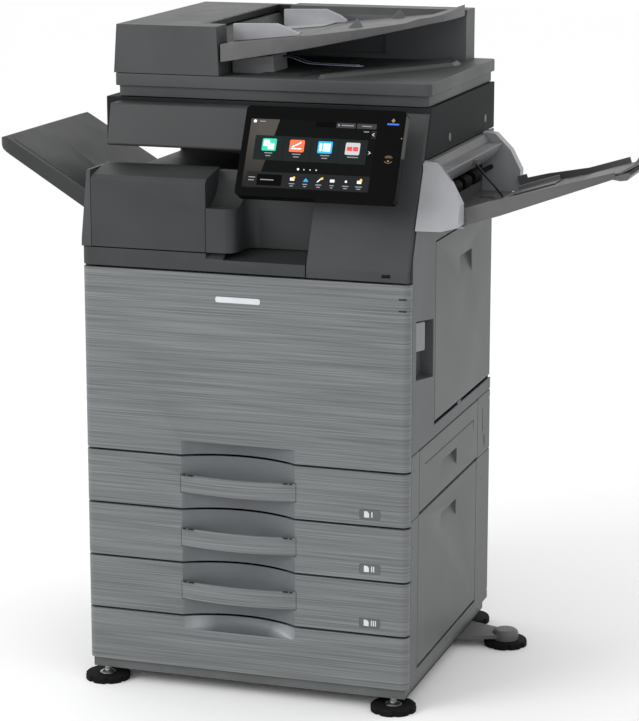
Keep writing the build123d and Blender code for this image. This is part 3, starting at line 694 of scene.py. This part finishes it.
def buildScreen():  # the display under the panel's glass, layer on layer
    screenLayer("panelGlass", [roundRect(*display["glass"], 6)], -0.4, 0.5, paint["panelGloss"], 0.0005)
    screenLayer("screenBack", [roundRect(*display["back"], 0.8)], 0.3, 0.62, shades["screenBack"])
    # painted reflection at the display's left
    screenLayer("screenSheen", [display["sheen"]], 0.5, 0.66, shades["screenSheen"])
    screenLayer("screenBar", roundRects(display["bars"], 1.2), 0.55, 0.74, shades["barGrey"])
    screenLayer("screenTiles", roundRects(display["tiles"], 1.0), 0.55, 0.76, shades["tileDark"])
    screenLayer("screenButtons", roundRects(display["buttons"], 0.8), 0.55, 0.76, shades["buttonGrey"])
    holes = [roundRect(*display["topHole"], 0.5), roundRect(*display["lowHole"], 0.8)]
    screenLayer("screenDarkBox", holes, 0.6, 0.78, shades["screenHole"])
    for hue in ("Green", "Orange", "Blue", "Silver"):
        screenLayer("icon" + hue, [roundRect(*icons[hue], 2.4)], 0.6, 0.9, shades["icon" + hue], 0.00015)
    screenLayer("iconRedBars", roundRects(icons["redBars"], 0.5), 0.8, 1.0, shades["iconRed"])
    screenLayer("lampBar", [roundRect(109.5, 54.6, 130, 57.4, 1.2)], 0.3, 0.75, shades["lampBlue"])
    # printed bezel marks with a painted glow
    screenLayer("bezelMarks", tanMarks(), 0.3, 0.7, shades["markTan"])
    screenLayer("screenWhite", whiteMarks(), 0.8, 1.05, shades["markWhite"])
    screenLayer("screenCaptions", captions(), 0.8, 1.05, shades["captionGrey"])
    dots = [disc(u, v, radius, 14) for u, v, radius in icons["yellowDots"]]
    screenLayer("screenYellow", dots, 0.9, 1.1, shades["markYellow"])
    screenLayer("screenBlueMarks", icons["bluePeaks"], 0.85, 1.0, shades["iconBlue"])


def arcBand(u, v, radius, side, width=0.9):  # a thin curved band, a little flattened
    angles = [math.radians(a) for a in range(25, 156, 14)]
    outer = [(u + radius * math.cos(a) * 0.9, v + side * radius * math.sin(a) * 0.8) for a in angles]
    inside = radius - width
    inner = [(u + inside * math.cos(a) * 0.9, v + side * inside * math.sin(a) * 0.8) for a in angles]
    return outer + list(reversed(inner))


def tanMarks():  # the touch spot's arcs, the lamp's diamond and the sensor dot, printed on the bezel; they are given a painted glow
    diamond = [(119.3, 66.3), (115.8, 62.4), (119.3, 58.9), (122.8, 62.4)]
    arcs = [arcBand(119.6, -5.6, radius, side) for radius, side in ((8.4, 1), (8.4, -1), (5.4, 1))]
    return [diamond, disc(137.4, 32, 1.1, 12)] + arcs + [roundRect(118, -9.5, 121.2, -7, 0.6)]


def whiteMarks():  # plain shapes on the icons and along the lower bar
    house = [(-125.2, 52.2), (-121.8, 55.2), (-118.4, 52.2), (-119.4, 52.2), (-119.4, 49.6), (-124.2, 49.6),
             (-124.2, 52.2)]
    marks = [house, roundRect(-101, 8.6, -90.6, 19.4, 0.8), roundRect(-92.8, 3.2, -82, 14, 0.8)]
    marks += [[(-52, 5), (-34, 5), (-34, 7.2), (-52, 7.2)],
              [(-51, 9.6), (-35.5, 18.4), (-34.3, 16.4), (-49.8, 7.8)]]
    marks += [roundRect(-2.6, 3.6, 2.2, 17.6, 1.4), roundRect(4.2, 3.6, 17, 17.6, 0.8)]
    marks += [[(83.4, 6.8), (86.8, 4.3), (83.4, 1.8), (84.6, 1.8), (88.0, 4.3), (84.6, 6.8)],
              [(90.4, 39), (87, 36.4), (90.4, 33.8), (89.3, 33.8), (85.9, 36.4), (89.3, 39)]]
    marks += [disc(-33.9, -29.8, 1.9, 16)] + [disc(u, -30, 1.0, 12) for u in (-23.5, -12.8, -2.1)]
    for u, wide, tall in ((-41.6, 3.8, 2.6), (28.5, 3.8, 2.4), (52.4, 1.8, 1.8), (75.4, 3.8, 2.6)):
        marks.append(roundRect(u - wide, -47.4 - tall, u + wide, -47.4 + tall, 0.6))
    return marks + [[(1.6, -50.2), (8.0, -43.8), (9.2, -45), (2.8, -51.4)]]


def captions():  # plain bars where the display has words
    bars = [(-113.9, -103.4, 52), (31, 52, 50.5), (67, 83, 50.5), (71, 80.2, 40.8), (-97.5, -83.5, -3.4),
            (-95, -86, -8.2), (-48.5, -33.5, -3.6), (-46, -36, -8.4), (1, 17, -3.8), (4, 14, -8.6),
            (48, 67, -4.6), (-119, -107, -47), (-119, -109, -52), (-98, -74, -50.6)]
    for u, wide in ((-41.6, 5), (-18.2, 4.2), (5.4, 5.2), (28.5, 3.6), (52.4, 5.6), (75.4, 6)):
        bars += [(u - wide, u + wide, -55.5), (u - wide * 0.6, u + wide * 0.6, -59.4)]
    dot = disc(26.3, 50.5, 1.7, 16)
    return [roundRect(u0, v - 0.75, u1, v + 0.75, 0.4) for u0, u1, v in bars] + [dot]


drawerFace = {"lowest": 137.5, "pitch": 97.5, "plate": (508.6, 12.6, 544.9, 29.4), "clipHeight": 63.6,
              "clips": ((185, 192), (195, 205), (371, 380), (383, 388))}


def buildLabels():  # a small plate in each drawer's recess: a sheet and the drawer's number as bars
    for index in (1, 2, 3):
        low = drawerFace["lowest"] + drawerFace["pitch"] * (3 - index)
        body = f"drawer_{index}"
        u0, v0, u1, v1 = drawerFace["plate"]
        plates(f"sizePlate{index}", [roundRect(u0, low + v0, u1, low + v1, 2.6)], onFront(1.2), -0.2, 0.5,
               paint["sideGrey"], body, 0.0002)
        sheet = [(516, low + 15.5), (516, low + 26.5), (521.5, low + 26.5), (525, low + 23),
                 (525, low + 15.5)]
        bars = [roundRect(529 + 3.6 * k, low + 16, 531 + 3.6 * k, low + 26, 0.4) for k in range(index)]
        plates(f"sizeMark{index}", [sheet] + bars, onFront(1.2), 0.4, 0.75, paint["badge"], body,
               0.0001)
        foot = low + drawerFace["clipHeight"]
        clips = [roundRect(start, foot, end, foot + 1.7, 0.7) for start, end in drawerFace["clips"]]
        plates(f"handleClip{index}", clips, onFront(-4.6), 0.0, 4.0, paint["charcoalDeep"], body,
               0.0004)


lid = {"front": 120, "top": 1166, "rise": 5 / 440, "marks": 13, "markPitch": 26,
       "edge": [(163, 170), (175.7, 172), (175.7, 546), (163, 546)], "firstMark": (165.5, 196, 173.5, 208)}


def onLid(u, v, w):  # the feeder lid's top, which rises a little towards the back
    return spot(u, v, lid["top"] + (v - lid["front"]) * lid["rise"] + w)


def buildLidDetails():
    u0, v0, u1, v1 = lid["firstMark"]
    steps = [lid["markPitch"] * k for k in range(lid["marks"])]
    plates("feedStrip", [lid["edge"]], onLid, -0.4, 0.2, paint["black"], "feeder_top_cover")
    plates("feedMarks", [roundRect(u0, v0 + step, u1, v1 + step, 1.0) for step in steps], onLid, 0.1, 0.8,
           paint["midGrey"], "feeder_top_cover", 0.0001)


shoulder = {"x": (213, 292), "y": (187, 262), "foot": 1076, "top": (1103, 1113), "taper": 3}


def buildShoulder():  # the feeder's column under the document tray, in a paler grey than the plastic round it: painted light in the tray's shade
    x0, x1 = shoulder["x"]
    y0, y1 = shoulder["y"]
    foot = [(x, y, shoulder["foot"]) for x in (x0, x1) for y in (y0, y1)]
    head = [(x0, y, shoulder["top"][0]) for y in (y0, y1)]
    head += [(x1 - shoulder["taper"], y, shoulder["top"][1]) for y in (y0, y1)]
    # pale grey on the column: painted light in the tray's shade
    hullPiece("feederShoulder", [foot + head], paint["latchGrey"], "feeder", 0.0025, 4)


exitWire = {"leg": [(262, 1109), (298, 1106.5), (336, 1094.5), (428, 1092.5)], "legsY": (242, 262),
            "tip": (434, 252, 1092.5), "radius": 1.9}


def buildExitWire():  # a loop of wire the sheets slide out over
    front, rear = [[(x, y, z) for x, z in exitWire["leg"]] for y in exitWire["legsY"]]
    tube("exitWire", front + [exitWire["tip"]] + list(reversed(rear)), exitWire["radius"], paint["wire"],
         "feeder")


def trayFin(x, y, foot, slope, peak):  # a small upright fin on the document tray
    base = [(x + dx, y + dy, foot + dx / 30 * slope) for dx in (0, 30) for dy in (0, 5)]
    return base + [(x + 18, y + 1, peak), (x + 20, y + 4, peak)]


coverRidge = {
    "foot": [(384, 141), (400, 139), (560, 402), (560, 446), (540, 494), (524, 494)],
    "inset": [(5, 6), (-2, 8), (-6, 0), (-6, -4), (-4, -6), (2, -6)], "bottom": 1079.8, "top": 1087.5,
    "slot": [(546, 405), (552, 405), (552, 440), (546, 440)],
}
sheetPad = {"foot": [(268, 150), (352, 150), (372, 300), (372, 470), (268, 470)], "bottom": 1079.8,
            "rim": [(276, 160), (346, 160), (364, 304), (364, 460), (276, 460)], "top": 1084}


def buildCoverTop():  # what stands on the platen cover beside the feeder
    foot = [(u, v, coverRidge["bottom"]) for u, v in coverRidge["foot"]]
    rim = [(u + du, v + dv, coverRidge["top"])
           for (u, v), (du, dv) in zip(coverRidge["foot"], coverRidge["inset"])]
    hullPiece("coverRidge", [foot + rim], paint["charcoal"], "feeder", 0.002)
    plates("ridgeSlot", [coverRidge["slot"]], onTop(coverRidge["top"]), -0.5, 0.25, paint["black"], "feeder")
    corners = [(u, v, sheetPad["bottom"]) for u, v in sheetPad["foot"]]
    corners += [(u, v, sheetPad["top"]) for u, v in sheetPad["rim"]]
    hullPiece("sheetPad", [corners], paint["charcoalDark"], "feeder", 0.0015)
    # a black plate under the document tray: painted shade for the tray's shadow
    plates("blackFloor", [roundRect(216, 264, 300, 496, 3)], onTop(1080.5), -0.3, 0.9, paint["black"],
           "feeder", 0.0003)


plug = {"profile": [(7.5, -1.0), (7.5, 0.4), (6.8, 0.9), (3.0, 0.7), (0.4, 0.5)],
        "centres": [(595, 241, 976), (595, 487, 979)]}


def buildFeederDetails():
    buildLidDetails()
    buildShoulder()
    buildExitWire()
    fins = [trayFin(394, 283, 1152.5, 3, 1172), trayFin(422, 452, 1155.5, 3.5, 1175.5)]
    hullPiece("trayFins", fins, paint["midGrey"], "document_tray", 0.0012)
    buildCoverTop()
    turned("scannerPlugs", plug["profile"], plug["centres"], (1, 0, 0), paint["midGrey"], "chassis")


bumper = {"size": (14, 8), "corners": [(60, 130), (270, 128), (530, 130), (60, 540), (530, 540)]}


def buildFoam():  # the white pad and the rubber buffers under the platen cover
    plates("foamPad", [roundRect(70, 160, 500, 490, 4)], onTop(1039.4), 0.0, 1.2, paint["foam"], "feeder",
           0.0004)
    wide, deep = bumper["size"]
    plates("coverBumpers", [roundRect(x, y, x + wide, y + deep, 2) for x, y in bumper["corners"]],
           onTop(1039.2), 0.0, 1.4, paint["rubber"], "feeder", 0.0003)


feedSlot = {"opening": (74, 868, 468, 912), "ribs": range(92, 460, 22), "ribZ": (870, 908)}
feedCover = {"y": (76, 466),
             "section": [(596, 938), (633, 938), (630, 928), (622, 915), (614, 909), (596, 909)]}
strap = {"path": [(630, 284, 926), (632, 292, 920), (636, 330, 898), (644, 372, 872), (652, 400, 850.5)],
         "radius": 1.7}
strapHook = {"root": [(x, y, z) for y in (266, 296) for x, z in ((628, 934), (622, 920))],
             "nose": [(637, 268, 934), (633, 270, 925), (637, 294, 934), (633, 292, 925)]}
tyre = {"profile": [(12.0, -9), (12.9, -8), (12.9, -2.4), (12.3, -1.8), (12.3, 1.8), (12.9, 2.4), (12.9, 8),
                    (12.0, 9)], "centres": [(612, y, 893) for y in (205, 271, 337)]}


def floorGuide(x, y):  # a low raised guide on the bypass mouth's floor
    foot = [(x + dx, y + dy, 849) for dx in (0, 34) for dy in (0, 7)]
    return foot + [(x + dx, y + dy, 853) for dx in (6, 28) for dy in (1, 6)]


def buildBypassDetails():
    plates("feedSlot", [roundRect(*feedSlot["opening"], 2)], onRight(595.2), -0.1, 0.9, paint["black"],
           "chassis", 0.0002)
    corners = [(x, y, z) for y in feedCover["y"] for x, z in feedCover["section"]]
    hullPiece("feedCover", [corners], paint["latchGrey"], "chassis", 0.002)
    low, high = feedSlot["ribZ"]
    plates("feedRibs", [roundRect(y, low, y + 3, high, 1) for y in feedSlot["ribs"]], onRight(596), 0.0, 2.4,
           paint["black"], "chassis", 0.0004)
    tube("bypassStrap", strap["path"], strap["radius"], paint["black"], "chassis")
    hullPiece("strapHook", [strapHook["root"] + strapHook["nose"]], paint["midGrey"], "chassis",
              0.0012)
    hullPiece("floorGuides", [floorGuide(612, 150), floorGuide(612, 380)], paint["midGrey"], "chassis",
              0.0008)
    turned("bypassTyres", tyre["profile"], tyre["centres"], (0, 1, 0), paint["rubber"], "bypass_roller")


exitTray = {"root": (-9, 874), "slope": math.atan2(94, 159),
            "step": [(6, 72), (6, 190), (182, 228), (182, 92), (172, 76)]}
bypassTray = {"root": (669, 854), "slope": math.radians(17.5), "ribs": (224, 328), "marks": (120, 404)}
documentTray = {"root": (214.5, 1135.8), "rise": 0.105,
                "seam": [(348.6, 160), (350.4, 161), (350.4, 496), (348.6, 496)]}


def onExitTray(u, v, w):  # u runs out along the slope from the body, v front to back
    x, z = exitTray["root"]
    return spot(x - u * math.cos(exitTray["slope"]), v, z + u * math.sin(exitTray["slope"]) + w)


def onBypassTray(u, v, w):  # the same on the right
    x, z = bypassTray["root"]
    sine, cosine = math.sin(bypassTray["slope"]), math.cos(bypassTray["slope"])
    return spot(x + u * cosine - w * sine, v, z + u * sine + w * cosine)


def onDocumentTray(u, v, w):
    x, z = documentTray["root"]
    return spot(u, v, z + (u - x) * documentTray["rise"] + w)


def buildTrayDetails():
    plates("exitTrayStep", [exitTray["step"]], onExitTray, -0.6, 0.9, paint["charcoalDark"], "chassis",
           0.0005, 0.01)
    plates("bypassRibs", [roundRect(108, y, 226, y + 3, 1.4) for y in bypassTray["ribs"]], onBypassTray, 0.9,
           1.45, paint["midGrey"], "bypass_tray", 0.0003)
    plates("traySizeMarks", [roundRect(98, y, 104, y + 12, 1) for y in bypassTray["marks"]], onBypassTray,
           0.9, 1.3, paint["badge"], "bypass_tray", 0.0001)
    plates("trayNotch", [documentTray["seam"]], onDocumentTray, -0.5, 0.22, paint["black"], "document_tray")


rightSide = {
    "groove": [(102, 422.4, 433, 423.8), (432, 406, 433.4, 423.8)],
    "holes": [(33, 428), (29, 292), (28, 232), (491, 295), (491, 232)],
    "slits": [(500, 386, 502, 432), (506, 360, 508, 378), (516, 352, 518, 376)],
    "catch": (318, 480, 340, 484.6),
}


def buildDoorDetails():
    plates("midDoorGroove", roundRects(rightSide["groove"], 0.4), onRight(595), -0.4, 0.16,
           paint["charcoalDeep"], "mid_side_door")
    plates("sideHoles", [disc(y, z, 1.6, 14) for y, z in rightSide["holes"]], onRight(595), -0.4, 0.2,
           paint["black"], "chassis")
    plates("sideSlits", roundRects(rightSide["slits"], 0.8), onRight(595), -0.4, 0.2, paint["charcoalDeep"],
           "chassis")
    plates("hingeCatch", [roundRect(*rightSide["catch"], 1)], onRight(594.4), -1.0, 0.4, paint["sideGrey"],
           "chassis", 0.0002)


screw = {
    "profile": [(3.1, -0.3), (3.1, 0.5), (2.6, 0.9), (1.3, 1.0), (1.2, 0.2), (0.2, 0.1)],
    "right": [(595, 548, z) for z in (930, 440, 60)],
    "left": [(0, 28, 60), (0, 28, 330), (0, 546, 60), (0, 546, 330), (0, 546, 930), (0, 300, 60)],
    "back": [(x, 556, z) for x in (18, 297, 577) for z in (54, 330, 700, 938)],
}


def buildScrews():
    for side, axis in (("right", (1, 0, 0)), ("left", (-1, 0, 0)), ("back", (0, 1, 0))):
        name = "sideScrews" if side == "right" else side + "Screws"
        turned(name, screw["profile"], screw[side], axis, paint["zinc"], "chassis", 24)


doorFront = {"badge": (248, 707.5, 329, 717.5), "slots": [(575, 730.6, 589, 733.4), (575, 710.6, 589, 713.4)]}


def buildBadge():  # a plain plate and the two slots at the door's edge
    plates("plainBadge", [roundRect(*doorFront["badge"], 3.2)], onFront(0), -0.3, 0.7, paint["badge"],
           "front_door", 0.0003)
    plates("doorSlots", roundRects(doorFront["slots"], 1.2), onFront(0), -0.5, 0.25, paint["black"],
           "front_door")


buildScreen()
buildLabels()
buildFeederDetails()
buildScrews()
buildFoam()
buildBypassDetails()
buildTrayDetails()
buildDoorDetails()
buildBadge()
print("details ready")


stage = {"floorHalf": 14.0, "floorColour": (245, 245, 245), "skyStrength": 1.08}


def buildStage():
    bpy.ops.mesh.primitive_grid_add(x_subdivisions=2, y_subdivisions=2, size=stage["floorHalf"] * 2)
    floor = bpy.context.object
    floor.name = "paleFloor"
    material, tree, shader = startMaterial("paleFloor")
    shader.inputs["Base Color"].default_value = (*toLinear(stage["floorColour"]), 1.0)
    shader.inputs["Roughness"].default_value = 0.9
    floor.data.materials.append(material)
    world = bpy.data.worlds.new("studio")
    bpy.context.scene.world = world
    world.use_nodes = True
    world.node_tree.nodes["Background"].inputs["Color"].default_value = (1.0, 1.0, 1.0, 1.0)
    world.node_tree.nodes["Background"].inputs["Strength"].default_value = stage["skyStrength"]


softbox = {"place": (-2.8, -3.2, 2.5), "target": (0, 0, 0.8), "size": (2.4, 2.0), "power": 84}


def buildLamp():
    data = bpy.data.lights.new("frontSoftbox", "AREA")
    data.shape = "RECTANGLE"
    data.size, data.size_y = softbox["size"]
    data.energy = softbox["power"]
    lamp = link(bpy.data.objects.new("frontSoftbox", data))
    lamp.location = softbox["place"]
    aim = Vector(softbox["target"]) - Vector(softbox["place"])
    lamp.rotation_euler = aim.to_track_quat("-Z", "Y").to_euler()


camera = {"place": (1745.0, -4002.65, 1565.3), "yaw": 18.112, "pitch": 12.677, "lens": 126.77}


def buildCamera():
    data = bpy.data.cameras.new("studioCamera")
    data.lens = camera["lens"]
    data.sensor_width = 36.0
    data.sensor_fit = "AUTO"
    view = link(bpy.data.objects.new("studioCamera", data))
    view.location = spot(*camera["place"])
    view.rotation_euler = (math.radians(90 - camera["pitch"]), 0.0, math.radians(camera["yaw"]))
    bpy.context.scene.camera = view


buildStage()
buildLamp()
buildCamera()
bpy.context.scene.view_settings.view_transform = "Standard"
print("stage ready")
